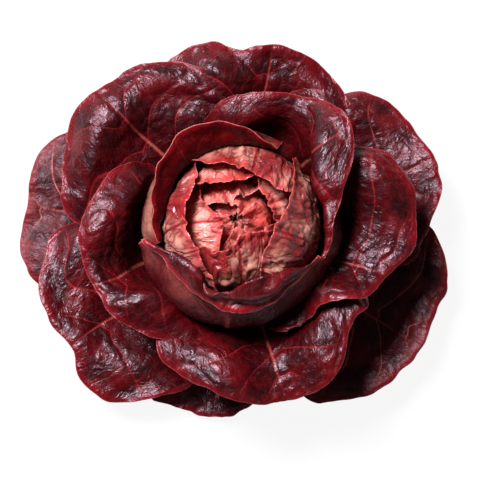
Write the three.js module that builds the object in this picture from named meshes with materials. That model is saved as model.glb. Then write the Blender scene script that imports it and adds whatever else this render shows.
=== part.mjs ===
// A head of red butterhead lettuce, cut at the stem and standing on the cut. Seven outer leaves spread like a
// saucer, four middle leaves stand up round the heart like a bowl, two wrapper leaves hold the heart, and the
// heart is leaves folded over one another, smaller and smaller. Every leaf is a thin closed sheet on its own.
//
// Millimetres and degrees, +Z up. The origin is the middle of the stem's cut face, and azimuth 0 is +X. A leaf
// is a fan of rays that start at the stem. Each ray follows a section, a curve in an upright plane through the
// axis, and ends at the leaf's margin. Lists that run across a leaf start at its clockwise side and are evenly
// spaced. Outer leaves measure distances from the axis in hundredths of HEAD_RADIUS and the others in
// hundredths of HEART_RADIUS. Heights are in hundredths of HEAD_HEIGHT.
import * as THREE from "three";

const HEAD_RADIUS = 139; // from the axis to the tip of the longest outer leaf
const HEAD_HEIGHT = 110; // from the cut face to just above the top of the heart
const HEART_RADIUS = 50; // the heart's widest, at its outermost folded leaf
const STEM_RADIUS = 15; // at the cut face
const BLADE = 0.9; // thickness of a leaf
const FOOT_GAP = 0.7; // from the stem's side to a leaf's foot

const FOOT_WIDTH = 0.6; // a leaf's angle at its foot, as a share of its angle at the margin
const STEM_SHOULDER = 8; // height where the stem starts to taper
const STEM_TOP = 54; // height of the stem's tip, inside the heart
const STEM_TAPER = 0.8; // share of its radius that the stem loses on the way up
const HEART_CENTRE = 66; // height that the heart's leaves are nested about
const SECTION_STEPS = 60; // steps along a section before it is cut at the margin

// Outer leaves, lowest first. heights are the section's, from the foot to HEAD_RADIUS, and lift is how far the
// margin rises above it.
const OUTER_LEAVES = [
  { name: "outer_leaf_bottom", azimuth: 262, spread: 34, heights: [5, 2.2, 2.8, 5, 6],
    reach: [43, 72, 84, 83, 84, 85, 83, 78, 72, 62, 42], lift: [0, 1, 0, 1, 0] },
  { name: "outer_leaf_left", azimuth: 172, spread: 38, heights: [6.6, 4.6, 6.5, 11, 12],
    reach: [54, 81, 91, 97, 98, 97, 99, 98, 93, 81, 52], lift: [0, 1, 0, 2, 0] },
  { name: "outer_leaf_lower_right", azimuth: 328, spread: 44, heights: [8.2, 7, 10.5, 16, 17],
    reach: [52, 82, 90, 96, 98, 100, 98, 99, 94, 85, 54], lift: [0, 2, 0, 2, 0] },
  { name: "outer_leaf_lower_left", azimuth: 216, spread: 46, heights: [9.8, 9.2, 14, 21, 22],
    reach: [50, 81, 88, 94, 94, 91, 97, 95, 84, 74, 49], lift: [0, 2, 0, 2, 0] },
  { name: "outer_leaf_right", azimuth: 20, spread: 40, heights: [10.2, 10, 16, 24, 26],
    reach: [47, 78, 84, 89, 95, 95, 93, 92, 88, 80, 50], lift: [0, 2, 0, 3, 0] },
  { name: "outer_leaf_top", azimuth: 79, spread: 48, heights: [11.8, 12.6, 22, 34, 38],
    reach: [47, 72, 77, 81, 85, 86, 82, 85, 84, 75, 47], lift: [0, 2, 0, 2, 0] },
  { name: "outer_leaf_upper_left", azimuth: 135, spread: 50, heights: [13.4, 17, 30, 41, 41],
    reach: [45, 67, 75, 82, 87, 88, 90, 85, 80, 74, 49], lift: [0, 2, 0, 2, 0] },
];

// Middle and wrapper leaves. A ray with no hug spreads over the outer leaves, and one with hug 1 stays round
// the heart: nest is its size against the heart, neck is how far it draws in before it turns out to the margin,
// and neckTop and rimTop are how high those two are. Each leaf of the next tier stands further in and higher than the last.
const CUP_LEAVES = [
  { name: "middle_leaf_bottom", azimuth: 285, spread: 56, tier: 0, hug: [0, 0],
    reach: [152, 188, 194, 203, 216, 224, 222, 209, 185, 182, 124], lift: [0, -3, 3, -2, 4, 2, 0] },
  { name: "middle_leaf_left", azimuth: 202, spread: 60, tier: 1, hug: [0, 0],
    reach: [124, 152, 168, 185, 192, 190, 188, 176, 165, 156, 132], lift: [0, 3, 2, -2, 4, 0, 0] },
  { name: "middle_leaf_right", azimuth: 340, spread: 58, tier: 2, hug: [0, 0],
    reach: [120, 137, 138, 145, 176, 192, 216, 220, 213, 196, 152], lift: [0, 3, 6, -2, 2, 3, 0] },
  { name: "middle_leaf_upper_right", azimuth: 42, spread: 66, tier: 3, hug: [1, 1, 1, 0.95, 0.45, 0, 0, 0, 0],
    nest: [1.24, 1.24], neck: [111, 106, 102, 100, 100, 100], neckTop: [76, 78, 79, 79, 78, 76],
    rimTop: [78, 82, 84, 85, 85, 85], reach: [116, 116, 118, 132, 158, 180, 182, 167, 150, 142, 124], lift: [0, 0, 0, 3, 0, 4, 2] },
  { name: "wrapper_leaf_bottom", azimuth: 264, spread: 72, tier: 4, hug: [1, 1],
    nest: [1.2, 1.22, 1.24, 1.22, 1.2], neck: [110, 88, 78, 77, 88, 87, 78, 76, 81, 96, 106],
    neckTop: [78, 80, 82, 84, 82, 84, 91, 94, 91, 83, 78], rimTop: [79, 79, 79, 79, 78, 77, 78, 83, 84, 80, 78],
    reach: [114, 99, 98, 100, 103, 111, 111, 109, 104, 104, 110] },
  { name: "wrapper_leaf_left", azimuth: 128, spread: 68, tier: 5, hug: [1, 1],
    nest: [1.12, 1.13, 1.12], neck: [95, 93, 90, 88, 87, 87, 87, 85, 84, 90, 94],
    neckTop: [77, 79, 81, 83, 84, 84, 82, 80, 79, 77, 74], rimTop: [79, 83, 87, 89, 89, 89, 88, 86, 84, 80, 76],
    reach: [97, 99, 107, 114, 119, 119, 111, 104, 100, 98, 99] },
];

// The spread section of the first tier, from the foot, and what each tier adds to it.
const CUP_SECTION = [[0, 15], [72, 18], [124, 33], [148, 50], [182, 59], [228, 56]];
const CUP_STEP = [[0, 2], [-1, 2.2], [-3, 3], [-5, 4], [-5, 4], [-5, 4]];

// The section of the heart's outermost leaf, from its foot over the top to the axis.
const HEART_SECTION = [[0, 30], [58, 38], [88, 47], [100, 62], [94, 78], [72, 90], [36, 96.5], [0, 98]];
const HUGGED_POINTS = 4; // how much of it a hugging ray follows before its neck
const NECK_STEP = Math.round((SECTION_STEPS * HUGGED_POINTS) / (HUGGED_POINTS + 1)); // where its neck is

// Leaves folded over the heart, outermost first, each nested in the one before.
const FOLDED_LEAVES = [
  { name: "heart_leaf_right", azimuth: 346, spread: 62, reach: [88, 61, 52, 48, 47, 46, 50, 59, 67, 80, 96] },
  { name: "heart_leaf_top", azimuth: 76, spread: 56, reach: [70, 58, 54, 54, 54, 54, 55, 58, 64, 72, 90] },
  { name: "heart_leaf_left", azimuth: 190, spread: 70, reach: [86, 66, 60, 56, 58, 60, 56, 56, 62, 70, 84] },
  { name: "heart_leaf_bottom", azimuth: 272, spread: 80, reach: [72, 60, 51, 46, 36, 27, 24, 22, 28, 40, 70] },
  { name: "inner_leaf_top", azimuth: 102, spread: 56, reach: [68, 58, 49, 43, 40, 39, 42, 46, 54, 64, 72] },
  { name: "inner_leaf_right", azimuth: 22, spread: 54, reach: [64, 56, 48, 42, 40, 39, 38, 39, 44, 54, 66] },
  { name: "inner_leaf_left", azimuth: 190, spread: 60, reach: [60, 50, 40, 24, 18, 16, 16, 17, 20, 32, 52] },
  { name: "inner_leaf_bottom", azimuth: 300, spread: 62, reach: [48, 24, 14, 11, 13, 17, 21, 26, 32, 38, 50] },
];
const NEST_STEP = 0.06; // how much smaller each folded leaf is than the one round it

// The small leaves in the middle grow one after another round the stem, each a golden angle on from the last.
const BUDS = 5;
const BUD = { azimuth: 110, step: 137.5, spread: 56, widening: 22, open: 0.42, closing: 0.09 };
const BUD_REACH = [1.9, 1.35, 1.1, 0.9, 1.1, 1.35, 1.9];

const RADIANS = Math.PI / 180;
const up = (hundredths) => (hundredths * HEAD_HEIGHT) / 100;
const wide = (hundredths) => (hundredths * HEART_RADIUS) / 100;
const { lerp, inverseLerp, clamp, smoothstep } = THREE.MathUtils;

// A smooth curve through evenly spaced values, at t from 0 to 1. Values are numbers or [distance, height].
function through(values, t) {
  const last = values.length - 1;
  const at = clamp(t, 0, 1) * last;
  const i = Math.min(Math.floor(at), last - 1);
  const f = at - i;
  const [a, b, c, d] = [-1, 0, 1, 2].map((k) => values[clamp(i + k, 0, last)]);
  const blend = (p, q, r, s) =>
    q + 0.5 * f * (r - p + f * (2 * p - 5 * q + 4 * r - s + f * (3 * (q - r) + s - p)));
  return Array.isArray(b) ? b.map((_, k) => blend(a[k], b[k], c[k], d[k])) : blend(a, b, c, d);
}

// A section as a line of points, with how far along it each one is.
function walk(points) {
  const line = [];
  for (let i = 0; i <= SECTION_STEPS; i++) line.push(through(points, i / SECTION_STEPS));
  const along = [0];
  for (let i = 1; i <= SECTION_STEPS; i++)
    along.push(along[i - 1] + Math.hypot(line[i][0] - line[i - 1][0], line[i][1] - line[i - 1][1]));
  return { line, along };
}

// How far along a section it first passes a distance from the axis, after a given step.
function passes({ line, along }, radius, from) {
  for (let i = from + 1; i < line.length; i++) {
    const [before, after] = [line[i - 1][0] - radius, line[i][0] - radius];
    if (before * after <= 0 && before !== after) return lerp(along[i - 1], along[i], before / (before - after));
  }
  return along[SECTION_STEPS];
}

// The point at a length along a section.
function pointAt({ line, along }, length) {
  let i = 1;
  while (i < SECTION_STEPS && along[i] < length) i++;
  const f = (length - along[i - 1]) / (along[i] - along[i - 1]);
  return [0, 1].map((k) => lerp(line[i - 1][k], line[i][k], f));
}

// The stem's radius at a height, and a leaf's foot there.
const tapered = (z) => clamp(inverseLerp(up(STEM_SHOULDER), up(STEM_TOP), z), 0, 1);
const stemRadius = (z) => STEM_RADIUS * (1 - STEM_TAPER * tapered(z));
const foot = (z) => [stemRadius(z) + FOOT_GAP, z];

function outerRay(leaf, t) {
  const last = leaf.heights.length - 1;
  const start = foot(up(leaf.heights[0]));
  const points = leaf.heights.map((h, i) => (i ? [lerp(start[0], HEAD_RADIUS, i / last), up(h)] : start));
  const walked = walk(points);
  return { walked, length: passes(walked, (through(leaf.reach, t) * HEAD_RADIUS) / 100, 0) };
}

// The heart's section, shrunk or grown about the heart's centre, with its foot on the stem.
function heartSection(nest) {
  const centre = up(HEART_CENTRE);
  const points = HEART_SECTION.map(([r, h]) => [wide(r) * nest, centre + (up(h) - centre) * nest]);
  points[0] = foot(points[0][1]);
  return points;
}

// A ray of a leaf folded over the heart ends where it has come back in to its reach.
function foldedRay(leaf, t) {
  const walked = walk(heartSection(leaf.nest));
  const widest = walked.line.reduce((best, p, i) => (p[0] > walked.line[best][0] ? i : best), 0);
  return { walked, length: passes(walked, wide(through(leaf.reach, t)), widest) };
}

// A ray of a middle or wrapper leaf, between spreading and hugging.
function cupRay(leaf, t) {
  const hug = clamp(through(leaf.hug, t), 0, 1);
  const reach = wide(through(leaf.reach, t));
  const spread = CUP_SECTION.map(([r, h], i) => [
    wide(r + leaf.tier * CUP_STEP[i][0]),
    up(h + leaf.tier * CUP_STEP[i][1]),
  ]);
  spread[0] = foot(spread[0][1]);
  if (hug === 0) {
    const walked = walk(spread);
    return { walked, length: passes(walked, reach, 0) };
  }
  const close = heartSection(through(leaf.nest, t)).slice(0, HUGGED_POINTS);
  close[0] = spread[0];
  close.push([wide(through(leaf.neck, t)), up(through(leaf.neckTop, t))], [reach, up(through(leaf.rimTop, t))]);
  const walked = walk(spread.map((p, i) => [lerp(p[0], close[i][0], hug), lerp(p[1], close[i][1], hug)]));
  const drawnIn = walked.line[NECK_STEP][0] < reach;
  return { walked, length: passes(walked, reach, drawnIn ? NECK_STEP : 0) };
}

// The middle of a leaf's sheet as rows of points, from the foot to the margin.
function sheetOf(leaf, ray, columns, rows) {
  const grid = Array.from({ length: rows + 1 }, () => []);
  for (let i = 0; i <= columns; i++) {
    const t = i / columns;
    const { walked, length } = ray(leaf, t);
    const lift = leaf.lift ? up(through(leaf.lift, t)) : 0;
    for (let j = 0; j <= rows; j++) {
      const s = j / rows;
      const [r, z] = pointAt(walked, s * length);
      const widening = lerp(FOOT_WIDTH, 1, smoothstep(s, 0, 0.5));
      const angle = (leaf.azimuth + leaf.spread * (2 * t - 1) * widening) * RADIANS;
      grid[j].push(new THREE.Vector3(r * Math.cos(angle), r * Math.sin(angle), z + lift * s ** 3));
    }
  }
  return grid;
}

// A closed sheet of the blade's thickness round a grid of points.
function thicken(grid) {
  const rows = grid.length;
  const columns = grid[0].length;
  const at = (i, j) => grid[clamp(j, 0, rows - 1)][clamp(i, 0, columns - 1)];
  const [upper, lower] = [[], []];
  for (let j = 0; j < rows; j++)
    for (let i = 0; i < columns; i++) {
      const across = at(i + 1, j).clone().sub(at(i - 1, j));
      const along = at(i, j + 1).clone().sub(at(i, j - 1));
      const normal = along.cross(across).normalize().multiplyScalar(BLADE / 2);
      upper.push(...at(i, j).clone().add(normal).toArray());
      lower.push(...at(i, j).clone().sub(normal).toArray());
    }
  const half = rows * columns;
  const index = [];
  const quad = (a, b, c, d) => index.push(a, b, c, a, c, d);
  for (let j = 0; j < rows - 1; j++)
    for (let i = 0; i < columns - 1; i++) {
      const a = j * columns + i;
      const d = a + columns;
      quad(d, d + 1, a + 1, a);
      quad(half + a, half + a + 1, half + d + 1, half + d);
    }
  const edge = (a, b) => quad(a, b, half + b, half + a);
  for (let i = 0; i < columns - 1; i++) {
    edge(i, i + 1);
    edge((rows - 1) * columns + i + 1, (rows - 1) * columns + i);
  }
  for (let j = 0; j < rows - 1; j++) {
    edge((j + 1) * columns, j * columns);
    edge((j + 1) * columns - 1, (j + 2) * columns - 1);
  }
  return new THREE.BufferGeometry()
    .setAttribute("position", new THREE.Float32BufferAttribute([...upper, ...lower], 3))
    .setIndex(index);
}

// The stem: a stump with a flat cut, drawn in to the cone that the leaves grow from.
function stemGeometry() {
  const heights = [0, STEM_SHOULDER, (STEM_SHOULDER + STEM_TOP) / 2, STEM_TOP].map(up);
  const side = heights.map((z) => new THREE.Vector2(stemRadius(z), z));
  const tip = new THREE.Vector2(0, up(STEM_TOP) + stemRadius(up(STEM_TOP)) / 2);
  return new THREE.LatheGeometry([new THREE.Vector2(0, 0), ...side, tip], 28).rotateX(Math.PI / 2);
}

const FINISHES = {
  outer: new THREE.MeshStandardMaterial({ color: 0x4a0d18, roughness: 0.42, metalness: 0 }),
  cup: new THREE.MeshStandardMaterial({ color: 0x5a0e1a, roughness: 0.4, metalness: 0 }),
  heart: new THREE.MeshStandardMaterial({ color: 0xc77468, roughness: 0.5, metalness: 0 }),
  bud: new THREE.MeshStandardMaterial({ color: 0xdd8172, roughness: 0.5, metalness: 0 }),
  stem: new THREE.MeshStandardMaterial({ color: 0xd9c9a8, roughness: 0.7, metalness: 0 }),
};

const foldedLeaves = FOLDED_LEAVES.map((leaf, i) => ({ ...leaf, nest: 1 - i * NEST_STEP }));
const buds = Array.from({ length: BUDS }, (_, i) => {
  const nest = 1 - (FOLDED_LEAVES.length + i) * NEST_STEP;
  const reach = BUD_REACH.map((share) => 100 * share * nest * (BUD.open - BUD.closing * i));
  const spread = BUD.spread + BUD.widening * i;
  return { name: `bud_leaf_${i + 1}`, azimuth: BUD.azimuth + BUD.step * i, spread, nest, reach };
});

const lettuce = new THREE.Group();
function add(name, geometry, finish) {
  const mesh = new THREE.Mesh(geometry, finish);
  mesh.name = name;
  lettuce.add(mesh);
}
add("stem", stemGeometry(), FINISHES.stem);
for (const leaf of OUTER_LEAVES) add(leaf.name, thicken(sheetOf(leaf, outerRay, 14, 6)), FINISHES.outer);
for (const leaf of CUP_LEAVES) add(leaf.name, thicken(sheetOf(leaf, cupRay, 16, 14)), FINISHES.cup);
for (const leaf of foldedLeaves) add(leaf.name, thicken(sheetOf(leaf, foldedRay, 12, 8)), FINISHES.heart);
for (const leaf of buds) add(leaf.name, thicken(sheetOf(leaf, foldedRay, 8, 6)), FINISHES.bud);

export default lettuce;
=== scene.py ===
"""The looks of a head of red butterhead lettuce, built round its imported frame.

Each leaf is a fan of rays about the head's axis, as its plain solid is, drawn again as a fine sheet with ribs,
puckers, a ruffled margin and a thinner blade. Lists that run across a leaf start at its clockwise side and are
evenly spaced. Outer leaves measure distances from the axis in hundredths of the head's radius, and the others in
hundredths of the heart's radius. Heights are in hundredths of the head's height. Lengths in the tables and in the
leaf maths are millimetres, and the meshes are metres.

A row of humps runs across a leaf, the first row nearest the stem and the last at the margin, and says how far the
sheet stands out of itself there. A dent is a place across and a place along its leaf, both from 0 to 1, the widths
that it fades over in each, and how far the sheet stands out there, or sinks where that is below 0.
"""

import math

import bpy
import numpy as np
from bpy.props import FloatProperty, FloatVectorProperty, IntProperty, PointerProperty
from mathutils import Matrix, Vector


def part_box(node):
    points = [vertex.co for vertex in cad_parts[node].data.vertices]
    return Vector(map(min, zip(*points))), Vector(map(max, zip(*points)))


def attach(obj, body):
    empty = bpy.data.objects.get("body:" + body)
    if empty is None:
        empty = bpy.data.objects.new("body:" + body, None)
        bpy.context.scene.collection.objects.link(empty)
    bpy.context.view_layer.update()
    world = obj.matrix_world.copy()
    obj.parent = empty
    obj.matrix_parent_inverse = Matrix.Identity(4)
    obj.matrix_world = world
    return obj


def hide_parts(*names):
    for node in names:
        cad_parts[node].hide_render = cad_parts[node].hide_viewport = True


bl_info = {
    "name": "Red Butterhead Lettuce",
    "version": (1, 0, 0),
    "blender": (4, 5, 0),
    "location": "View3D > Sidebar > Lettuce",
    "description": "Builds a head of red lettuce, leaf by leaf, on a plain floor",
    "category": "Add Mesh",
}

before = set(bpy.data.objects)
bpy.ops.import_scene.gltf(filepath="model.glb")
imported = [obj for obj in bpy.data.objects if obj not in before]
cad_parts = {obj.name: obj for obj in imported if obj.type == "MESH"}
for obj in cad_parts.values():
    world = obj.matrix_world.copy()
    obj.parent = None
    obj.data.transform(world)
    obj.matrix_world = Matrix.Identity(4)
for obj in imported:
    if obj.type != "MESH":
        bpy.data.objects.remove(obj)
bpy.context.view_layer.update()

MM = 0.001
BODY = "root"
HEART_TOP = 95.6  # where the heart's outermost leaf tops out, in hundredths of the head's height
HEART_SKIN = 0.5  # how far the heart's outermost solid reaches past the heart's radius


def widest(node):
    """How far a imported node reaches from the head's axis, in millimetres."""
    co = np.array([v.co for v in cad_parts[node].data.vertices])
    return float(np.hypot(co[:, 0], co[:, 1]).max()) / MM


HEAD_RADIUS = widest("outer_leaf_lower_right")
HEART_RADIUS = widest("heart_leaf_right") - HEART_SKIN
STEM_RADIUS = widest("stem")
HEAD_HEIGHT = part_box("heart_leaf_right")[1].z / MM / (HEART_TOP / 100)

FOOT_GAP = 0.7  # from the stem's side to a leaf's foot
FOOT_WIDTH = 0.6  # a leaf's angle at its foot, as a share of its angle at the margin
STEM_SHOULDER = 8
STEM_TOP = 54
STEM_TAPER = 0.8
HEART_CENTRE = 66
SECTION_STEPS = 80
ROW_CROWDING = 1.2  # above 1, a sheet's rows crowd towards its margin
LEAST_REACH = 0.6  # how near the axis a folded leaf may end
HUG_NICK_LOSS = 0.5  # how much of its nicks a leaf loses where it hugs the heart
NECK_CLEARANCE = 0.5  # how far inside its reach a leaf's neck has to be for the leaf to end after it
NICK = 1.4  # how far a margin's nicks go in and out
COARSE_NICKS, FINE_NICKS = 9, 25  # along one margin
FINE_NICK_SHARE = 0.6
HUMPS_FROM = 0.25  # how far along a leaf its first hump may start
MIDRIB_WANDER, WANDER_LENGTH = 3, 45  # how far a midrib strays aside, and over what length
RIB_SLOPE, RIB_SWEEP, RIB_TURN = 0.34, 13, 11  # a side rib's slope far out, and how it bends next to the midrib
RIB_DRIFT, DRIFT_LENGTH = 0.45, 34  # how far side ribs stray, in rib spacings, and over what length
RIB_STAGGER = 0.42  # how far the ribs of one side are along from the other's, in rib spacings
RIB_HALF_WIDTH = 1.8
SIDE_RIB_SHARE = 0.75  # a side rib's height, as a share of the midrib's
PATCH_LENGTH = 24  # across a patch of stronger or weaker puckers
SWELL_LENGTH = 36  # across a broad swell
EDGE_SHARE, EDGE_WIDTH = 0.25, 2.5  # how thin the blade is at its margin, and how far in it thins
COARSE_NET, FINE_NET = 170, 420  # cells in a metre of the two nets of veins

OUTER_LEAVES = [
    dict(name="outer_leaf_bottom", azimuth=262, spread=34, heights=[5, 2.2, 2.8, 5, 6],
         reach=[43, 72, 84, 83, 84, 85, 83, 78, 72, 62, 42], lift=[0, 1, 0, 1, 0],
         humps=[[0, 0, 0, 0, 0, 0, 0], [0, 0, 1, -1, 1, 0, 0], [0, 1, 0, 1, 0, 1, 0]]),
    dict(name="outer_leaf_left", azimuth=172, spread=38, heights=[6.6, 4.6, 6.5, 11, 12],
         reach=[54, 81, 91, 97, 98, 97, 99, 98, 93, 81, 52], lift=[0, 1, 0, 2, 0], brown=0.9,
         humps=[[0, 0, 1, -1, 1, 0, 0], [0, 2, 0, -1, 1, 1, 0],
                [0, 2, 2, -1, 2, 0, 0], [0, 0, -1, 0, 0, -1, 0]]),
    dict(name="outer_leaf_lower_right", azimuth=328, spread=44, heights=[8.2, 7, 10.5, 15, 17.5],
         reach=[52, 82, 90, 96, 98, 100, 98, 99, 94, 85, 54], lift=[0, 2, 0, 2, 0], brown=0.7,
         humps=[[0, 0, 1, -1, 1, 0, 0], [0, 1, 0, -2, 0, 2, 0],
                [0, 1, 0, -1, 1, 1, 0], [0, 2, 4, 5, 1, 3, 0]]),
    dict(name="outer_leaf_lower_left", azimuth=216, spread=46, heights=[9.8, 9.2, 14, 21, 22],
         reach=[50, 81, 88, 94, 94, 91, 97, 95, 84, 74, 49], lift=[0, 2, 0, 2, 0],
         humps=[[0, 1, 1, -1, 1, 0, 0], [1, 2, 0, -2, 1, 1, 0],
                [0, 3, 1, -1, 3, -1, 0], [-5, -2, 1, 4, -1, 0, -1]]),
    dict(name="outer_leaf_right", azimuth=20, spread=40, heights=[10.2, 10, 16, 24, 26],
         reach=[47, 78, 84, 89, 95, 95, 93, 92, 88, 80, 50], lift=[0, 2, 0, 3, 0], brown=0.2,
         humps=[[0, 0, 1, -1, 1, 0, 0], [0, 0, -1, -1, 1, 2, 0],
                [0, -1, 0, 2, 0, 3, 0], [0, 3, 5, 3, -1, -2, -3]]),
    dict(name="outer_leaf_top", azimuth=79, spread=48, heights=[11.8, 12.6, 22, 34, 38],
         reach=[47, 72, 77, 81, 85, 86, 82, 85, 84, 75, 47], lift=[0, 2, 0, 2, 0],
         humps=[[0, 0, 1, -1, 1, 0, 0], [0, 3, -1, -2, 4, 1, 0],
                [0, 4, -2, 0, 5, -2, 0], [-6, -3, -6, 0, -3, -7, 0]]),
    dict(name="outer_leaf_upper_left", azimuth=135, spread=50, heights=[13.4, 17, 30, 41, 41],
         reach=[45, 67, 75, 82, 87, 88, 90, 85, 80, 74, 49], lift=[0, 2, 0, 2, 0],
         humps=[[0, 0, 1, -1, 0, 1, 0], [0, 3, 2, -2, 1, 3, 0],
                [1, 2, -1, 2, 3, -1, -2], [-1, -3, -5, -2, -7, -8, -4]]),
]

MIDDLE_LEAVES = [
    dict(name="middle_leaf_bottom", azimuth=285, spread=56, tier=0, hug=[0, 0],
         reach=[152, 188, 194, 203, 216, 224, 222, 209, 185, 182, 124], lift=[0, -3, 3, -2, 4, 2, 0],
         humps=[[0, 0, 1, -1, 1, 0, 0], [0, 1, 2, -3, 1, 2, 0],
                [0, 2, 3, -3, 2, 3, 0], [-1, 1, 2, -2, 1, 2, -3]]),
    dict(name="middle_leaf_left", azimuth=202, spread=60, tier=1, hug=[0, 0],
         reach=[124, 152, 168, 185, 192, 190, 188, 176, 165, 156, 132], lift=[0, 3, 2, -2, 4, 0, 0],
         humps=[[1, 0, 0, -2, 0, 0, 0], [2, 3, 2, -3, 3, 2, 0],
                [0, 4, 2, -4, 6, 2, 0], [-5, -4, -3, -1, -3, -3, 0]]),
    dict(name="middle_leaf_right", azimuth=340, spread=58, tier=2, hug=[0, 0],
         reach=[120, 137, 138, 145, 176, 192, 216, 220, 213, 196, 152], lift=[0, 3, 6, -2, 2, 3, 0],
         humps=[[0, 3, 5, 3, 1, 0, 0], [0, 6, 8, 2, -2, 1, 1],
                [0, 4, 5, -1, -3, 2, 1], [-2, -2, 1, 0, -2, 0, -2]]),
    dict(name="middle_leaf_upper_right", azimuth=42, spread=66, tier=3,
         hug=[1, 1, 1, 0.95, 0.45, 0, 0, 0, 0],
         nest=[1.24, 1.24], neck=[111, 106, 102, 100, 100, 100], neck_top=[76, 78, 79, 79, 78, 76],
         rim_top=[78, 82, 84, 85, 85, 85], lift=[0, 0, 0, 3, 0, 4, 2],
         reach=[116, 116, 118, 132, 158, 180, 182, 167, 150, 142, 124],
         humps=[[0, 0, 0, 0, -1, 0, 0], [0, 0, 1, 2, -3, 2, 0],
                [0, 0, 1, 3, -3, 3, 0], [0, 0, 0, 0, -4, -4, -3]]),
]

WRAPPER_LEAVES = [
    dict(name="wrapper_leaf_bottom", azimuth=264, spread=72, tier=4, hug=[1, 1],
         nest=[1.2, 1.22, 1.24, 1.22, 1.2], neck=[110, 88, 78, 77, 88, 87, 78, 76, 81, 96, 106],
         neck_top=[78, 80, 82, 84, 82, 84, 91, 94, 91, 83, 78],
         rim_top=[79, 79, 79, 79, 78, 77, 78, 83, 84, 80, 78],
         reach=[114, 99, 98, 100, 103, 111, 111, 109, 104, 104, 110],
         dents=[[0.54, 0.95, 0.09, 0.03, -5], [0.74, 0.92, 0.14, 0.025, 4], [0.24, 0.91, 0.12, 0.05, 2.5],
                [0.40, 0.90, 0.05, 0.05, -4], [0.76, 0.975, 0.12, 0.02, -2.5]]),
    dict(name="wrapper_leaf_left", azimuth=128, spread=68, tier=5, hug=[1, 1],
         nest=[1.12, 1.13, 1.12], neck=[95, 93, 90, 88, 87, 87, 87, 85, 84, 90, 94],
         neck_top=[77, 78, 79, 80, 81, 81, 80, 79, 78, 77, 74],
         rim_top=[80, 86, 91, 93, 94, 94, 93, 90, 87, 82, 77],
         reach=[97, 99, 106, 112, 116, 116, 110, 104, 100, 98, 99],
         dents=[[0.30, 0.93, 0.10, 0.05, -2.5], [0.52, 0.90, 0.05, 0.05, 2], [0.68, 0.94, 0.10, 0.05, -2]]),
]

CUP_SECTION = [[0, 15], [72, 18], [124, 33], [148, 50], [182, 59], [228, 56]]
CUP_STEP = [[0, 2], [-1, 2.2], [-3, 3], [-5, 4], [-5, 4], [-5, 4]]
HEART_SECTION = [[0, 30], [58, 38], [88, 47], [100, 62], [94, 78], [72, 90], [36, 96.5], [0, 98]]
HUGGED_POINTS = 4
NECK_STEP = SECTION_STEPS * HUGGED_POINTS // (HUGGED_POINTS + 1)

FOLDED_LEAVES = [
    dict(name="heart_leaf_right", azimuth=346, spread=62, reach=[88, 61, 52, 48, 47, 46, 50, 59, 67, 80, 96]),
    dict(name="heart_leaf_top", azimuth=76, spread=56, reach=[70, 58, 54, 54, 54, 54, 55, 58, 64, 72, 90]),
    dict(name="heart_leaf_left", azimuth=190, spread=70, reach=[86, 66, 60, 56, 58, 60, 56, 56, 62, 70, 84]),
    dict(name="heart_leaf_bottom", azimuth=272, spread=80, reach=[72, 60, 51, 46, 36, 27, 24, 22, 28, 40, 70]),
    dict(name="inner_leaf_top", azimuth=102, spread=56, reach=[68, 58, 49, 43, 40, 39, 42, 46, 54, 64, 72]),
    dict(name="inner_leaf_right", azimuth=22, spread=54, reach=[64, 56, 48, 42, 40, 39, 38, 39, 44, 54, 66]),
    dict(name="inner_leaf_left", azimuth=190, spread=60, reach=[60, 50, 40, 24, 18, 16, 16, 17, 20, 32, 52]),
    dict(name="inner_leaf_bottom", azimuth=300, spread=62, reach=[48, 24, 14, 11, 13, 17, 21, 26, 32, 38, 50]),
]
HEART_LEAVES = 4  # the first ones of them, and the rest are the heart's inner leaves
NEST_STEP = 0.06

BUDS = 5
BUD = dict(azimuth=110, step=137.5, spread=56, widening=22, open=0.42, closing=0.084)
BUD_NICK = 2.4
BUD_COLUMNS, BUD_ROWS = 70, 60
BUD_REACH = [1.9, 1.35, 1.1, 0.9, 1.1, 1.35, 1.9]

SEEDS = dict(outer=100, middle=200, wrapper=300, shaded=301, heart=400, inner=404, bud=500)


# ---- curves and noise ----


def up(hundredths):
    return np.asarray(hundredths, float) * HEAD_HEIGHT / 100


def wide(hundredths):
    return np.asarray(hundredths, float) * HEART_RADIUS / 100


def through(values, t):
    """A smooth curve through evenly spaced values, at each t from 0 to 1."""
    values = np.asarray(values, float)
    last = len(values) - 1
    at = np.clip(np.asarray(t, float), 0, 1) * last
    i = np.minimum(at.astype(int), last - 1)
    f = at - i
    a, b, c, d = (values[np.clip(i + k, 0, last)] for k in (-1, 0, 1, 2))
    if values.ndim > 1:
        f = f[..., None]
    return b + 0.5 * f * (c - a + f * (2 * a - 5 * b + 4 * c - d + f * (3 * (b - c) + d - a)))


def ease(low, high, x):
    """0 below low, 1 above high and smooth between them."""
    f = np.clip((x - low) / (high - low), 0, 1)
    return f * f * (3 - 2 * f)


def scatter(ix, iy, seed):
    """A random number from 0 to 1 for each lattice point, the same on every run."""
    n = (ix.astype(np.int64) * 374761393 + iy.astype(np.int64) * 668265263 + seed * 974711) & 0x7FFFFFFF
    n = ((n ^ (n >> 13)) * 1274126177) & 0x7FFFFFFF
    n = ((n ^ (n >> 15)) * 1911520717) & 0x7FFFFFFF
    return ((n ^ (n >> 16)) & 0xFFFF) / 65535.0


def clouds(x, y, seed):
    """Smooth noise from -1 to 1 with features about one unit across."""
    ix, iy = np.floor(x), np.floor(y)
    fx, fy = x - ix, y - iy
    fx, fy = (f * f * f * (f * (6 * f - 15) + 10) for f in (fx, fy))
    low = scatter(ix, iy, seed) * (1 - fx) + scatter(ix + 1, iy, seed) * fx
    high = scatter(ix, iy + 1, seed) * (1 - fx) + scatter(ix + 1, iy + 1, seed) * fx
    return 2 * (low * (1 - fy) + high * fy) - 1


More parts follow.
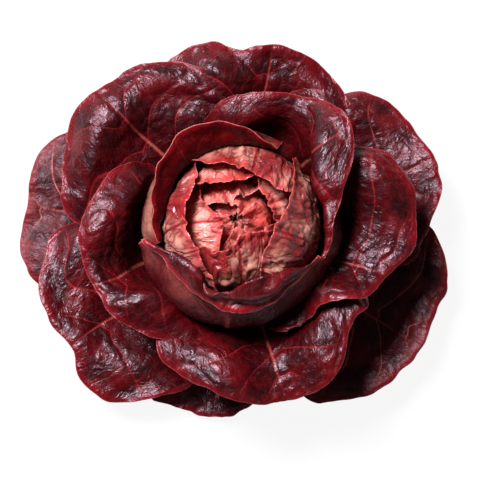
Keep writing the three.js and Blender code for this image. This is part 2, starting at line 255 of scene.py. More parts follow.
def puckers(x, y, seed, crown=0.75):
    """Rounded cells about one unit across: 0 in the creases between them and 1 on their crowns."""
    ix, iy = np.floor(x), np.floor(y)
    nearest = np.full(x.shape, 9.0)
    second = np.full(x.shape, 9.0)
    for dx in (-1, 0, 1):
        for dy in (-1, 0, 1):
            cx, cy = ix + dx, iy + dy
            px = cx + 0.15 + 0.7 * scatter(cx, cy, seed)
            py = cy + 0.15 + 0.7 * scatter(cx, cy, seed + 51)
            far = np.hypot(x - px, y - py)
            second = np.minimum(second, np.maximum(nearest, far))
            nearest = np.minimum(nearest, far)
    return 1 - (1 - np.clip((second - nearest) / crown, 0, 1)) ** 2


# ---- sections and sheets ----


def stem_radius(z):
    low, high = up(STEM_SHOULDER), up(STEM_TOP)
    return STEM_RADIUS * (1 - STEM_TAPER * np.clip((z - low) / (high - low), 0, 1))


def foot(z):
    return [float(stem_radius(z)) + FOOT_GAP, float(z)]


def walk(points):
    """A section as a line of points, with how far along it each one is."""
    line = through(points, np.linspace(0, 1, SECTION_STEPS + 1))
    steps = np.hypot(*np.diff(line, axis=0).T)
    return line, np.concatenate([[0], np.cumsum(steps)])


def passes(line, along, radius, start):
    """How far along a section it first passes a distance from the axis, after a given step."""
    gap = line[start:, 0] - radius
    hit = np.nonzero((gap[:-1] * gap[1:] <= 0) & (gap[:-1] != gap[1:]))[0]
    if len(hit) == 0:
        return along[-1]
    i = hit[0]
    return along[start + i] + (along[start + i + 1] - along[start + i]) * gap[i] / (gap[i] - gap[i + 1])


def outer_ray(leaf, t, extra):
    heights = leaf["heights"]
    start = foot(up(heights[0]))
    stations = np.linspace(start[0], HEAD_RADIUS, len(heights))
    points = [start] + [[r, up(h)] for r, h in zip(stations[1:], heights[1:])]
    line, along = walk(points)
    return line, along, passes(line, along, through(leaf["reach"], t) * HEAD_RADIUS / 100 + extra, 0)


def heart_section(nest):
    centre = up(HEART_CENTRE)
    points = [[wide(r) * nest, centre + (up(h) - centre) * nest] for r, h in HEART_SECTION]
    points[0] = foot(points[0][1])
    return points


def folded_ray(leaf, t, extra):
    """A ray of a leaf folded over the heart ends where it has come back in to its reach."""
    line, along = walk(heart_section(leaf["nest"]))
    reach = max(wide(through(leaf["reach"], t)) + extra, LEAST_REACH)
    return line, along, passes(line, along, reach, int(line[:, 0].argmax()))


def cup_ray(leaf, t, extra):
    """A ray of a middle or wrapper leaf, between spreading and hugging the heart."""
    hug = float(np.clip(through(leaf["hug"], t), 0, 1))
    reach = wide(through(leaf["reach"], t)) + extra * (1 - HUG_NICK_LOSS * hug)
    tier = leaf["tier"]
    spread = [[wide(r + tier * dr), up(h + tier * dh)] for (r, h), (dr, dh) in zip(CUP_SECTION, CUP_STEP)]
    spread[0] = foot(spread[0][1])
    if hug == 0:
        line, along = walk(spread)
        return line, along, passes(line, along, reach, 0)
    close = heart_section(through(leaf["nest"], t))[:HUGGED_POINTS]
    close[0] = spread[0]
    close.append([wide(through(leaf["neck"], t)), up(through(leaf["neck_top"], t))])
    close.append([reach, up(through(leaf["rim_top"], t))])
    line, along = walk((1 - hug) * np.array(spread, float) + hug * np.array(close, float))
    ends_after_neck = line[NECK_STEP, 0] < reach - NECK_CLEARANCE
    return line, along, passes(line, along, reach, NECK_STEP if ends_after_neck else 0)


def sheet_of(leaf, ray, columns, rows):
    """The middle of a leaf's sheet: places, and for each its way along its ray, its way across and its margin."""
    t = np.linspace(0, 1, columns + 1)
    share = 1 - (1 - np.linspace(0, 1, rows + 1)) ** ROW_CROWDING
    r, z, along = (np.empty((rows + 1, columns + 1)) for _ in range(3))
    coarse = clouds(t * COARSE_NICKS, t * 0 + 0.5, leaf["seed"])
    nicks = leaf.get("nick", NICK) * (coarse + FINE_NICK_SHARE * clouds(t * FINE_NICKS, t * 0, leaf["seed"]))
    for i in range(columns + 1):
        line, lengths, length = ray(leaf, t[i], nicks[i])
        along[:, i] = share * length
        r[:, i] = np.interp(along[:, i], lengths, line[:, 0])
        z[:, i] = np.interp(along[:, i], lengths, line[:, 1])
    s = share[:, None]
    widening = FOOT_WIDTH + (1 - FOOT_WIDTH) * ease(0, 0.5, s)
    turn = np.radians(leaf["spread"] * (2 * t[None, :] - 1) * widening)
    angle = np.radians(leaf["azimuth"]) + turn
    if "lift" in leaf:
        z = z + up(through(leaf["lift"], t))[None, :] * s**3
    middle = np.stack([r * np.cos(angle), r * np.sin(angle), z], -1)
    side = r * (np.radians(leaf["spread"]) * widening - np.abs(turn))
    edge = np.minimum(along[-1:, :] - along, side)
    return dict(middle=middle, along=along, across=r * turn, edge=edge, s=s + 0 * r, t=t[None, :] + 0 * r)


def normals_of(middle):
    along = np.gradient(middle, axis=0)
    across = np.gradient(middle, axis=1)
    normal = np.cross(along, across)
    return normal / np.maximum(np.linalg.norm(normal, axis=-1, keepdims=True), 1e-9)


def humps_at(humps, s, t):
    """How high the humps stand: each row is smooth across the leaf and eases into the next one along it."""
    across = np.stack([through(row, t) for row in np.array(humps, float)], -1)
    stations = np.concatenate([0 * across[..., :1], across], -1)
    at = np.clip((s - HUMPS_FROM) / (1 - HUMPS_FROM), 0, 1) * len(humps)
    low = np.minimum(at.astype(int), len(humps) - 1)
    f = ease(0, 1, at - low)
    below = np.take_along_axis(stations, low[..., None], -1)[..., 0]
    above = np.take_along_axis(stations, low[..., None] + 1, -1)[..., 0]
    return below * (1 - f) + above * f


def add_relief(leaf, sheet, style):
    """Raises or sinks the sheet by ribs, puckers, folds, humps, dents and a ruffled margin.

    It keeps on the sheet what the finish reads: its ribs, its relief and the ways along and across its veins.
    """
    x, y, edge, s, t = (sheet[key] for key in ("along", "across", "edge", "s", "t"))
    seed = leaf["seed"]
    wander = MIDRIB_WANDER * clouds(x / WANDER_LENGTH, 0 * x, seed + 1) * ease(5, 40, x)
    from_midrib = y - wander
    off = np.abs(from_midrib)
    spacing = style["rib_spacing"]
    bend = RIB_SLOPE * off + RIB_SWEEP * (1 - np.exp(-off / RIB_TURN))
    drift = clouds(x / DRIFT_LENGTH, y / DRIFT_LENGTH, seed + 3) * RIB_DRIFT * spacing * ease(2, 25, off)
    lateral = x - bend + drift + np.where(from_midrib > 0, RIB_STAGGER, 0) * spacing * ease(0, 8, off)
    near = np.abs((lateral / spacing + 0.5) % 1 - 0.5) * spacing
    midrib = np.exp(-((off / (0.9 + 2.0 * ease(1.0, 0.15, s))) ** 2))
    branch = np.exp(-((near / RIB_HALF_WIDTH) ** 2)) * ease(0, 14, edge)
    ribs = midrib + SIDE_RIB_SHARE * branch
    warp_x, warp_y = (0.35 * clouds(x / 8, y / 8, seed + k) for k in (5, 6))
    size = style["pucker_size"]
    domes = puckers(x / size + warp_x, y / (size * 0.85) + warp_y, seed + 7, 0.65)
    small = puckers(x / (size * 0.42) + warp_x, y / (size * 0.36) + warp_y, seed + 9, 0.6)
    crumple = clouds(x / 6, y / 6, seed + 11) + 0.5 * clouds(x / 3, y / 3, seed + 12)
    crumple = crumple * (0.5 + 0.5 * clouds(x / 25, y / 25, seed + 14))
    loose = style["near_foot"] + (1 - style["near_foot"]) * ease(0.25, 0.8, s)
    patchy = 0.55 + 0.45 * clouds(x / PATCH_LENGTH, y / PATCH_LENGTH, seed + 21)
    height = loose * patchy * (style["pucker"] * domes * (1 - 0.7 * np.minimum(ribs, 1)) + style["quilt"] * small)
    height += loose * (style["crumple"] * crumple - style["rib_depth"] * ribs)
    radius = np.hypot(sheet["middle"][..., 0], sheet["middle"][..., 1])
    folds = 1 - np.abs(clouds(x / 13 + warp_x, y / 11 + warp_y, seed + 31)) * 2.2
    folds += 0.5 * (1 - np.abs(clouds(x / 6 + warp_x, y / 5, seed + 33)) * 2.2)
    height += style["folds"] * folds
    height *= ease(1, 14, radius)
    swell = clouds(x / SWELL_LENGTH, y / SWELL_LENGTH, seed + 13)
    height += style["swell"] * swell * ease(0.3, 0.8, s) * ease(0, 12, edge)
    phase = t * style["ruffles"] * 2 * math.pi + 2.5 * clouds(t * 5, 0 * y, seed + 15)
    height += style["ruffle"] * np.sin(phase) * ease(20, 0, edge) * ease(0.3, 0.8, s)
    height += style["curl"] * ease(style["curl_width"], 0, edge) ** 2 * ease(0.4, 0.7, s)
    for at_t, at_s, wide_t, wide_s, rise in leaf.get("dents", []):
        height = height + rise * np.exp(-(((t - at_t) / wide_t) ** 2) - ((s - at_s) / wide_s) ** 2)
    if "humps" in leaf:
        height += style["hump"] * humps_at(leaf["humps"], s, t)
    middle = sheet["middle"]
    sheet["middle"] = middle + normals_of(middle) * height[..., None]
    sheet["lateral"] = lateral
    sheet["from_midrib"] = from_midrib
    sheet["relief"] = domes * 0.7 + small * 0.3
    sheet["ridges"] = ribs
    return sheet


def leaf_mesh(leaf, sheet, style):
    """A closed leaf: the upper face, the under face with raised ribs, and a rounded rim between them."""
    middle = sheet["middle"]
    normal = normals_of(middle)
    rows, columns = middle.shape[:2]
    thick = style["blade"] * (EDGE_SHARE + (1 - EDGE_SHARE) * ease(0, EDGE_WIDTH, sheet["edge"]))[..., None]
    ridges = (style["under_rib"] * np.minimum(sheet["ridges"], 1) * ease(0, 6, sheet["edge"]))[..., None]
    upper = middle + normal * thick / 2
    under = middle - normal * (thick / 2 + ridges)
    half = rows * columns
    verts = np.concatenate([upper.reshape(-1, 3), under.reshape(-1, 3)]) * MM
    a = (np.arange(rows - 1)[:, None] * columns + np.arange(columns - 1)[None, :]).ravel()
    top = np.stack([a + columns, a + columns + 1, a + 1, a], 1)
    bottom = np.stack([a, a + 1, a + columns + 1, a + columns], 1) + half
    first = np.arange(columns - 1)
    last = (rows - 1) * columns + first[::-1] + 1
    left = (np.arange(rows - 1) + 1) * columns
    right = (np.arange(rows - 1) + 1) * columns - 1
    starts = np.concatenate([first, last, left, right])
    ends = np.concatenate([first + 1, last - 1, left - columns, right + columns])
    rim = np.stack([starts, ends, ends + half, starts + half], 1)
    faces = np.concatenate([top, bottom, rim])
    mesh = bpy.data.meshes.new(leaf["name"] + "_leaf")
    mesh.from_pydata(verts.tolist(), [], faces.tolist())
    mesh.shade_smooth()
    plane = np.stack([sheet["along"] * MM, sheet["across"] * MM, sheet["edge"] * MM], -1).reshape(-1, 3)
    veins = np.stack([sheet["lateral"] * MM, sheet["from_midrib"] * MM, sheet["relief"]], -1).reshape(-1, 3)
    look = np.zeros((2 * half, 3))
    look[:half, 0] = 1
    look[:, 1] = leaf.get("brown", 0)
    look[:, 2] = np.tile(sheet["s"].ravel(), 2)
    for name, values in (("plane", np.tile(plane, (2, 1))), ("veins", np.tile(veins, (2, 1))), ("look", look)):
        mesh.attributes.new(name, "FLOAT_VECTOR", "POINT").data.foreach_set("vector", values.ravel())
    mesh.update()
    return mesh


def place(name, mesh, material, node):
    piece = bpy.data.objects.new(name, mesh)
    bpy.context.scene.collection.objects.link(piece)
    mesh.materials.append(material)
    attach(piece, BODY)
    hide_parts(node)


def grow(leaf, ray, style, material, columns, rows):
    sheet = add_relief(leaf, sheet_of(leaf, ray, columns, rows), style)
    place("lettuce_" + leaf["name"], leaf_mesh(leaf, sheet, style), material, leaf["name"])


# ---- finishes ----


class Value:
    """A shader socket that Python's operators work on, each adding a Math node."""

    def __init__(self, tree, socket):
        self.tree, self.socket = tree, socket

    def math(self, operation, *others):
        return self.tree.make("ShaderNodeMath", dict(operation=operation), dict(enumerate((self, *others))))

    def __add__(self, other):
        return self.math("ADD", other)

    __radd__ = __add__

    def __sub__(self, other):
        return self.math("SUBTRACT", other)

    def __rsub__(self, other):
        return self.tree.make("ShaderNodeMath", dict(operation="SUBTRACT"), {0: other, 1: self})

    def __mul__(self, other):
        return self.math("MULTIPLY", other)

    __rmul__ = __mul__

    def __truediv__(self, other):
        return self.math("DIVIDE", other)

    def __abs__(self):
        return self.math("ABSOLUTE")


class Tree:
    """The nodes of one material."""

    def __init__(self, name):
        self.material = bpy.data.materials.new(name)
        self.material.use_nodes = True
        self.nodes = self.material.node_tree.nodes
        self.links = self.material.node_tree.links
        self.nodes.clear()

    def make(self, kind, settings, sockets, output=0):
        """Adds a node, sets it up, feeds its sockets with values or other sockets, and gives an output."""
        node = self.nodes.new(kind)
        for key, value in settings.items():
            setattr(node, key, value)
        for key, value in sockets.items():
            if isinstance(value, Value):
                self.links.new(value.socket, node.inputs[key])
            else:
                node.inputs[key].default_value = value
        return Value(self, node.outputs[output])

    def attribute(self, name):
        return self.make("ShaderNodeAttribute", dict(attribute_name=name), {}, "Vector")

    def split(self, vector):
        node = self.make("ShaderNodeSeparateXYZ", {}, {0: vector}).socket.node
        return [Value(self, socket) for socket in node.outputs]

    def fade(self, value, start, end):
        """1 at start and 0 at end, smooth between them."""
        return self.make("ShaderNodeMapRange", dict(interpolation_type="SMOOTHSTEP"),
                         {0: value, 1: start, 2: end, 3: 1.0, 4: 0.0})

    def noise(self, vector, scale, detail=3.0, rough=0.55, twist=0.0):
        sockets = {"Vector": vector, "Scale": scale, "Detail": detail, "Roughness": rough, "Distortion": twist}
        return self.make("ShaderNodeTexNoise", {}, sockets)

    def net(self, vector, scale):
        """Distance to the nearest line of a net of irregular cells."""
        settings = dict(feature="DISTANCE_TO_EDGE")
        return self.make("ShaderNodeTexVoronoi", settings, {"Vector": vector, "Scale": scale})

    def mix(self, factor, low, high):
        """Goes from one colour to another."""
        return self.make("ShaderNodeMix", dict(data_type="RGBA"), {0: factor, 6: low, 7: high}, 2)

    def finish(self, colour, roughness, height, distance, constants):
        bump = self.make("ShaderNodeBump", {}, {"Height": height, "Distance": distance, "Strength": 1.0})
        sockets = {"Base Color": colour, "Roughness": roughness, "Normal": bump} | constants
        surface = self.make("ShaderNodeBsdfPrincipled", {}, sockets)
        out = self.nodes.new("ShaderNodeOutputMaterial")
        self.links.new(surface.socket, out.inputs["Surface"])
        return self.material


def rgb(colour):
    return (*colour, 1.0)


def leaf_finish(name, tints, rib_spacing):
    """A leaf's skin: mottled flesh, a net of fine veins, ribs, a margin with painted glow, a painted highlight
    along the rim, painted shade towards the foot and in creases, and a paler under face.
    """
    tree = Tree(name)
    plane = tree.attribute("plane")
    _, _, edge = tree.split(plane)
    lateral, from_midrib, relief = tree.split(tree.attribute("veins"))
    side, brown, s = tree.split(tree.attribute("look"))
    slanted = tree.make("ShaderNodeVectorMath", dict(operation="MULTIPLY"), {0: plane, 1: (0.7, 1.3, 0)})
    crinkle = abs(tree.noise(slanted, tints["crinkle_scale"], 2, 0.5, 0.6) - 0.5)
    flat = tree.make("ShaderNodeVectorMath", dict(operation="MULTIPLY"), {0: plane, 1: (1, 1, 0)})
    blotches = tree.noise(flat, 38, 4)
    grain = tree.noise(flat, 700, 3)
    patches = tree.noise(flat, 90, 3)
    push = tree.make("ShaderNodeTexNoise", {}, {"Vector": flat, "Scale": 130.0, "Detail": 3.0}, "Color")
    wavy = tree.make("ShaderNodeVectorMath", dict(operation="ADD"), {
        0: flat, 1: tree.make("ShaderNodeVectorMath", dict(operation="SCALE"), {0: push, "Scale": 0.006})})
    coarse = tree.net(wavy, COARSE_NET)
    fine = tree.net(wavy, FINE_NET)
    net = tree.fade(coarse, 0.01, 0.08) * 0.7 + tree.fade(fine, 0.02, 0.12) * 0.3
    near = abs((lateral / rib_spacing + 0.5).math("FRACT") - 0.5) * rib_spacing
    rib = tree.fade(near, 0.00015, tints["rib_width"]) * (1 - tree.fade(edge, 0.001, tints["bare"]) * 0.9)
    rib = rib * tree.fade(patches, 0.3, 0.9)
    midrib = tree.fade(abs(from_midrib) + s * 0.0014, 0.0009, 0.0024) * 0.85
    flesh = tree.mix(tree.fade(blotches, 0.60, 0.40), rgb(tints["bright"]), rgb(tints["deep"]))
    flesh = tree.mix(brown * tree.fade(blotches, 0.35, 0.6), flesh, rgb(tints["brown"]))
    # Painted shade: the upper face darkens towards the foot, down between the leaves where shade falls.
    flesh = tree.mix(tree.fade(s, 0.40, 0.85) * 0.85, flesh, rgb(tints["deep"]))
    flesh = tree.mix(tree.fade(relief, 0.55, 0.0) * tints["crease"], flesh, rgb(tints["bright"]))
    # Painted shade: darker along the creases of the coarse net, between the puckers.
    flesh = tree.mix(tree.fade(coarse, 0.0, 0.16) * tree.fade(patches, 0.75, 0.35) * 0.7,
                     flesh, rgb(tints["deep"]))
    flesh = tree.mix(net * tree.fade(patches, 0.35, 0.6) * tints["net"], flesh, rgb(tints["vein"]))
    flesh = tree.mix(rib, flesh, tree.mix(brown, rgb(tints["vein"]), rgb(tints["pale_vein"])))
    # Painted glow of light shining through the thin edge: a brighter crimson band along the margin.
    flesh = tree.mix(tree.fade(edge + blotches * 0.006, 0.003, tints["margin_width"]) * tints["margin_share"],
                     flesh, rgb(tints["margin"]))
    flesh = tree.mix(midrib * tree.fade(s, 0.85, 1.0),
                     flesh, tree.mix(s, rgb(tints["midrib"]), rgb(tints["vein"])))
    # Painted highlight: a thin pale line along the very edge, where the edge catches the light.
    flesh = tree.mix(tree.fade(edge, 0.0002, 0.0007) * tints["rim_highlight_share"], flesh, rgb(tints["rim"]))
    under = tree.mix(tree.fade(blotches, 0.62, 0.4), rgb(tints["under_pale"]), rgb(tints["under"]))
    # Painted shade: the under face is darker and redder in the hollows between its puckers.
    under = tree.mix(tree.fade(relief, 0.1, 0.7) * 0.4, under, rgb(tints["under"]))
    under = tree.mix(net * tree.fade(patches, 0.35, 0.6) * 0.6, under, rgb(tints["under_vein"]))
    # Painted shade: the under face darkens to the low tint towards the foot, where it lies in shade.
    under = tree.mix(tree.fade(s, 0.45, 0.8) * tints["under_shade_share"], under, rgb(tints["low"]))
    # Painted shade: dark red in the creases of the crinkles.
    under = tree.mix(tree.fade(crinkle, 0.0, 0.022) * tints["crinkle_shade_share"], under, rgb(tints["under_vein"]))
    under = tree.mix(rib, under, rgb(tints["under_vein"]))
    # Painted glow of light through the thin edge, on the under face's margin too.
    under_margin = tree.fade(edge + blotches * 0.014, 0.006, tints["under_margin_width"])
    under = tree.mix(under_margin * tints["margin_share"], under, rgb(tints["margin"]))
    under = tree.mix(tree.fade(abs(from_midrib), 0.0003, 0.0016), under, rgb(tints["under_midrib"]))
    # Painted highlight along the very edge of the under face too.
    under = tree.mix(tree.fade(edge, 0.0002, 0.0007) * tints["rim_highlight_share"], under, rgb(tints["rim"]))
    colour = tree.mix(side, under, flesh)
    roughness = tints["gloss"] + grain * 0.12 + patches * 0.06 + tree.fade(relief, 0.1, 0.8) * 0.16 + brown * 0.16
    domes = (1 - tree.fade(coarse, 0.0, 0.42)) * tree.fade(patches, 0.75, 0.35)
    height = domes * tints["bumps"] + (1 - tree.fade(fine, 0.0, 0.30)) * 0.09 + grain * 0.05
    height = height + tree.noise(flat, 260, 3) * 0.15 + crinkle * tints["crinkle"]
    constants = {"IOR": 1.45, "Specular IOR Level": tints["specular"], "Specular Tint": rgb(tints["shine"]),
                 "Subsurface Weight": tints["glow"], "Subsurface Radius": (0.004, 0.0012, 0.0008),
                 "Subsurface Scale": 1.0}
    return tree.finish(colour, roughness, height, MM, constants)


# Widths, such as rib_width, margin_width and bare, are metres here, and bumps and crinkle are millimetres.
# Painted light in these tints: rim is a painted highlight along the very edge, margin is painted glow of light
# through the thin edge, and low is painted shade on the under face near the foot.
DARK = dict(
    deep=(0.007, 0.0002, 0.0006), bright=(0.088, 0.0006, 0.0022), brown=(0.095, 0.015, 0.012),
    vein=(0.25, 0.011, 0.015), pale_vein=(0.55, 0.14, 0.11),
    midrib=(0.58, 0.15, 0.115), margin=(0.20, 0.0016, 0.0060), rim=(0.42, 0.07, 0.075), crease=0.3, net=0.35,
    margin_width=0.010, margin_share=0.65, rim_highlight_share=0.5, under=(0.085, 0.004, 0.007),
    under_pale=(0.14, 0.025, 0.025),
    under_vein=(0.26, 0.04, 0.04), under_midrib=(0.40, 0.12, 0.10), under_margin_width=0.012, under_shade_share=0.3,
    low=(0.10, 0.012, 0.014), gloss=0.26, specular=0.54, shine=(1.0, 0.82, 0.97), glow=0.0,
    bumps=0.50, bare=0.016, rib_width=0.0008, crinkle=0.9, crinkle_scale=90.0, crinkle_shade_share=0.3,
)
WRAPPER = DARK | dict(
    deep=(0.020, 0.0003, 0.0008), bright=(0.12, 0.0010, 0.0030), margin=(0.40, 0.005, 0.014),
    rim=(0.60, 0.16, 0.15), rim_highlight_share=0.8, specular=0.55, under=(0.065, 0.002, 0.004),
    under_pale=(0.23, 0.040, 0.034), under_vein=(0.12, 0.004, 0.007), margin_width=0.008,
    under_midrib=(0.22, 0.03, 0.03), under_shade_share=0.9, low=(0.026, 0.0006, 0.0012),
)
# SHADED is the wrapper finish made darker with painted shade, for the inner face of the left wrapper leaf, which
# tilts away from the light; it also has a paler under face and a wider crimson margin.
SHADED = WRAPPER | dict(
    deep=(0.018, 0.0002, 0.0005), bright=(0.085, 0.0006, 0.0016), margin=(0.17, 0.002, 0.005),
    under_pale=(0.36, 0.15, 0.11), under_margin_width=0.017, under_shade_share=0.4, net=0.6, crease=0.6, margin_share=0.92,
    specular=0.18, vein=(0.13, 0.006, 0.008),
)
HEART = DARK | dict(
    deep=(0.42, 0.05, 0.045), bright=(0.60, 0.10, 0.085), vein=(0.50, 0.04, 0.04), midrib=(0.6, 0.16, 0.13),
    margin=(0.50, 0.016, 0.024), rim=(0.72, 0.15, 0.14), under=(0.24, 0.020, 0.021), under_pale=(0.58, 0.27, 0.21),
    under_vein=(0.20, 0.006, 0.010), under_midrib=(0.22, 0.008, 0.012), under_margin_width=0.018,
    margin_share=0.7, gloss=0.17, specular=0.7, glow=0.03, bumps=0.2, bare=0.004, rib_width=0.0014,
    crinkle=7.0, crinkle_scale=75.0, crinkle_shade_share=0.8, under_shade_share=0.5, low=(0.20, 0.022, 0.022),
)
INNER = HEART | dict(
    under=(0.54, 0.06, 0.052), under_pale=(0.84, 0.36, 0.30), margin=(0.60, 0.035, 0.037),
    under_vein=(0.46, 0.04, 0.04),
    under_midrib=(0.46, 0.05, 0.045), deep=(0.50, 0.05, 0.048), bright=(0.74, 0.17, 0.14), glow=0.06,
    low=(0.30, 0.03, 0.03),
)
BUD_TINTS = INNER | dict(
    under=(0.62, 0.09, 0.075), under_pale=(0.86, 0.34, 0.29), margin=(0.80, 0.20, 0.17), rim=(0.9, 0.45, 0.40),
)

OUTER_STYLE = dict(rib_spacing=22, pucker_size=9, pucker=1.4, quilt=0.3, crumple=0.2, rib_depth=0.7, swell=3.0,
                   ruffle=1.5, ruffles=4, curl=-0.4, curl_width=4, hump=1.7, folds=0, near_foot=0.35,
                   blade=0.7, under_rib=0.7)
MIDDLE_STYLE = OUTER_STYLE | dict(rib_spacing=20, pucker=1.6, quilt=0.36, swell=2.2, ruffle=1.3, near_foot=0.3)
WRAPPER_STYLE = OUTER_STYLE | dict(rib_spacing=17, pucker=0.6, quilt=0.15, crumple=0.35, rib_depth=0.4, swell=0.5,
                                   ruffle=0.8, ruffles=6, curl=-0.6, near_foot=0.4)
HEART_STYLE = OUTER_STYLE | dict(rib_spacing=16, pucker=-0.5, quilt=-0.12, crumple=0.4, rib_depth=-0.35,
                                 swell=0.4, ruffle=0.5, ruffles=5, curl=-2.0, curl_width=8, folds=-0.9,
                                 near_foot=0.6, under_rib=0.35, blade=0.6)
INNER_STYLE = HEART_STYLE | dict(curl=-2.4, ruffle=1.0, ruffles=4, rib_spacing=13)
BUD_STYLE = INNER_STYLE | dict(rib_spacing=11, pucker_size=6, pucker=-0.3, ruffle=2.0, ruffles=3, blade=0.5)


# ---- the pieces ----


def leaves_of(leaves, ray, style, tints, slot, columns, rows, seed, skin=""):
    """Grows a group of leaves in one finish. The skin names it where a slot has more than one."""
    material = leaf_finish((skin or slot) + "_skin", tints, style["rib_spacing"] * MM)
    for i, leaf in enumerate(leaves):
        grow(leaf | dict(seed=seed + i), ray, style, material, columns, rows)


def heart_leaves():
    return [leaf | dict(nest=1 - i * NEST_STEP) for i, leaf in enumerate(FOLDED_LEAVES)]


def bud_leaves():
    leaves = []
    for i in range(BUDS):
        nest = 1 - (len(FOLDED_LEAVES) + i) * NEST_STEP
        reach = [100 * share * nest * (BUD["open"] - BUD["closing"] * i) for share in BUD_REACH]
        leaves.append(dict(name=f"bud_leaf_{i + 1}", azimuth=BUD["azimuth"] + BUD["step"] * i,
                           spread=BUD["spread"] + BUD["widening"] * i,
                           nest=nest, reach=reach, nick=BUD_NICK))
    return leaves


def colour_property(name, description, tints, key):
    return FloatVectorProperty(name=name, description=description, subtype="COLOR", size=3, min=0, max=1,
                               default=tints[key])


class LettuceSizes(bpy.types.PropertyGroup):
    columns: IntProperty(name="Columns", description="How finely a leaf is drawn across", default=110, min=20)
    rows: IntProperty(name="Rows", description="How finely a leaf is drawn along", default=80, min=12)
    blade: FloatProperty(name="Blade", description="How thick an outer leaf is", unit="LENGTH",
                         default=OUTER_STYLE["blade"] * MM, min=0.0003, max=0.002)
    # Deep also colours the painted shade towards a leaf's foot and in the creases of its net.
    deep: colour_property("Deep", "The darkest flesh of the spreading leaves", DARK, "deep")
    bright: colour_property("Bright", "The brightest flesh of the spreading leaves", DARK, "bright")
    # Heart Red also colours the painted shade in the hollows of the heart leaves' puckers.
    heart_red: colour_property("Heart Red", "The redder flesh of the heart's leaves", HEART, "under")
    heart_pale: colour_property("Heart Pale", "The paler flesh of the heart's leaves", HEART, "under_pale")


def thickness(sizes):
    return dict(blade=sizes.blade / MM)


def flesh_of(sizes):
    return DARK | dict(deep=tuple(sizes.deep), bright=tuple(sizes.bright))


class LETTUCE_OT_outer_leaves(bpy.types.Operator):
    """Grow the outer leaves"""

    bl_idname = "lettuce.outer_leaves"
    bl_label = "Outer Leaves"

    def execute(self, context):
        sizes = context.scene.lettuce_sizes
        leaves_of(OUTER_LEAVES, outer_ray, OUTER_STYLE | thickness(sizes), flesh_of(sizes), "outer_leaf",
                  sizes.columns, sizes.rows, SEEDS["outer"])
        return {"FINISHED"}


class LETTUCE_OT_middle_leaves(bpy.types.Operator):
    """Grow the middle leaves"""

    bl_idname = "lettuce.middle_leaves"
    bl_label = "Middle Leaves"

    def execute(self, context):
        sizes = context.scene.lettuce_sizes
        leaves_of(MIDDLE_LEAVES, cup_ray, MIDDLE_STYLE | thickness(sizes), flesh_of(sizes), "middle_leaf",
                  sizes.columns, sizes.rows, SEEDS["middle"])
        return {"FINISHED"}


class LETTUCE_OT_wrapper_leaves(bpy.types.Operator):
    """Grow the leaves that wrap the heart"""

    bl_idname = "lettuce.wrapper_leaves"
    bl_label = "Wrapper Leaves"

    def execute(self, context):
        sizes = context.scene.lettuce_sizes
        outer, inner = WRAPPER_LEAVES
        # The left wrapper leaf gets the darker finish with painted shade.
        for leaf, tints, skin in ((outer, WRAPPER, "wrapper"), (inner, SHADED, "shaded")):
            leaves_of([leaf], cup_ray, WRAPPER_STYLE, tints, "wrapper_leaf",
                      sizes.columns, sizes.rows, SEEDS[skin], skin)
        return {"FINISHED"}


class LETTUCE_OT_heart_leaves(bpy.types.Operator):
    """Grow the leaves folded over the heart"""

    bl_idname = "lettuce.heart_leaves"
    bl_label = "Heart Leaves"

    def execute(self, context):
        sizes = context.scene.lettuce_sizes
        leaves = heart_leaves()
        tints = HEART | dict(under=tuple(sizes.heart_red), under_pale=tuple(sizes.heart_pale))
        leaves_of(leaves[:HEART_LEAVES], folded_ray, HEART_STYLE, tints, "heart_leaf",
                  sizes.columns, sizes.rows, SEEDS["heart"], "heart")
        leaves_of(leaves[HEART_LEAVES:], folded_ray, INNER_STYLE, INNER, "heart_leaf",
                  sizes.columns, sizes.rows, SEEDS["inner"], "inner")
        return {"FINISHED"}


class LETTUCE_OT_bud_leaves(bpy.types.Operator):
    """Grow the small leaves in the middle"""

    bl_idname = "lettuce.bud_leaves"
    bl_label = "Bud Leaves"

    def execute(self, context):
        leaves_of(bud_leaves(), folded_ray, BUD_STYLE, BUD_TINTS, "bud_leaf", BUD_COLUMNS, BUD_ROWS, SEEDS["bud"])
        return {"FINISHED"}


class LETTUCE_OT_stem(bpy.types.Operator):
    """Give the imported cut stem a finish of fibrous flesh"""

    bl_idname = "lettuce.stem"
    bl_label = "Stem"

    def execute(self, context):
        tree = Tree("stem_flesh")
        place_of = tree.make("ShaderNodeTexCoord", {}, {}, "Object")
        fibres = tree.noise(place_of, 220, 5)
        colour = tree.mix(fibres, rgb((0.36, 0.25, 0.14)), rgb((0.66, 0.56, 0.40)))
        material = tree.finish(colour, 0.55 + fibres * 0.2, fibres, 0.0008, {})
        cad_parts["stem"].data.materials.clear()
        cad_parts["stem"].data.materials.append(material)
        return {"FINISHED"}


TARGET = (0.0022, -0.0073, 0.040)
CAMERA_ELEVATION = 84
CAMERA_DISTANCE = 1.0
HALF_VIEW = 0.1488  # half of what the camera sees across, at its target
SENSOR_WIDTH = 36  # in millimetres, as the lens is
FLOOR_SIZE = 8
FLOOR_DROP = 0.0005  # how far the floor is under the stem's cut face
FLOOR_GREY = 0.10
FLOOR_GLOW = 0.91
WORLD_GLOW = 0.035
LIGHT_AIM = (0, 0, 0.03)
LIGHTS = (
    dict(name="key", place_at=(-0.66, 0.66, 1.40), size=0.60, energy=56, colour=(1, 0.96, 0.97)),
    dict(name="fill", place_at=(0.7, -0.5, 1.5), size=1.4, energy=1.0, colour=(1, 0.97, 0.97)),
)


def add_light(name, place_at, size, energy, colour):
    lamp = bpy.data.lights.new(name, "AREA")
    lamp.size = size
    lamp.energy = energy
    lamp.color = colour
    light = bpy.data.objects.new(name, lamp)
    light.location = place_at
    light.rotation_euler = (Vector(LIGHT_AIM) - Vector(place_at)).to_track_quat("-Z", "Y").to_euler()
    bpy.context.scene.collection.objects.link(light)


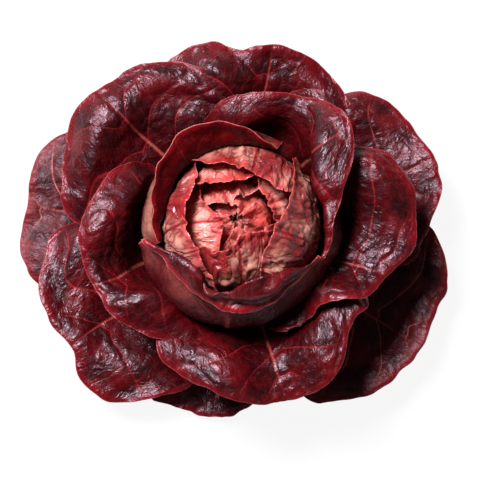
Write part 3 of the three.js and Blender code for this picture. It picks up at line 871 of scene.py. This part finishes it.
class LETTUCE_OT_stage(bpy.types.Operator):
    """Set the floor, the lights and the camera"""

    bl_idname = "lettuce.stage"
    bl_label = "Stage"

    def execute(self, context):
        scene = context.scene
        bpy.ops.mesh.primitive_plane_add(size=FLOOR_SIZE, location=(0, 0, -FLOOR_DROP))
        floor = context.object
        floor.name = "floor"
        tree = Tree("floor_paper")
        surface = tree.make("ShaderNodeBsdfPrincipled", {}, {
            "Base Color": rgb((FLOOR_GREY,) * 3), "Roughness": 0.9, "Specular IOR Level": 0.0,
            "Emission Color": rgb((1, 1, 1)), "Emission Strength": FLOOR_GLOW})
        out = tree.nodes.new("ShaderNodeOutputMaterial")
        tree.links.new(surface.socket, out.inputs["Surface"])
        floor.data.materials.append(tree.material)
        world = bpy.data.worlds.new("studio")
        world.use_nodes = True
        world.node_tree.nodes["Background"].inputs[0].default_value = (1, 1, 1, 1)
        world.node_tree.nodes["Background"].inputs[1].default_value = WORLD_GLOW
        scene.world = world
        for light in LIGHTS:
            add_light(**light)
        camera = bpy.data.cameras.new("camera")
        camera.sensor_width = SENSOR_WIDTH
        camera.lens = SENSOR_WIDTH / 2 / (HALF_VIEW / CAMERA_DISTANCE)
        rig = bpy.data.objects.new("camera", camera)
        tilt = math.radians(CAMERA_ELEVATION)
        back = Vector((0, -math.cos(tilt), math.sin(tilt)))
        rig.location = Vector(TARGET) + CAMERA_DISTANCE * back
        rig.rotation_euler = (math.radians(90) - tilt, 0, 0)
        scene.collection.objects.link(rig)
        scene.camera = rig
        scene.view_settings.view_transform = "Standard"
        return {"FINISHED"}


class LETTUCE_PT_parts(bpy.types.Panel):
    """The pieces of the lettuce, in the order they are grown"""

    bl_label = "Lettuce"
    bl_space_type = "VIEW_3D"
    bl_region_type = "UI"
    bl_category = "Lettuce"

    def draw(self, context):
        for operator in OPERATORS:
            self.layout.operator(operator.bl_idname)


OPERATORS = (
    LETTUCE_OT_outer_leaves, LETTUCE_OT_middle_leaves, LETTUCE_OT_wrapper_leaves, LETTUCE_OT_heart_leaves,
    LETTUCE_OT_bud_leaves, LETTUCE_OT_stem, LETTUCE_OT_stage,
)
CLASSES = (LettuceSizes, *OPERATORS, LETTUCE_PT_parts)


def register():
    for cls in CLASSES:
        bpy.utils.register_class(cls)
    bpy.types.Scene.lettuce_sizes = PointerProperty(type=LettuceSizes)


def unregister():
    del bpy.types.Scene.lettuce_sizes
    for cls in reversed(CLASSES):
        bpy.utils.unregister_class(cls)


def main():
    register()
    for operator in OPERATORS:
        getattr(bpy.ops.lettuce, operator.bl_idname.split(".")[1])()


if __name__ == "__main__":
    main()
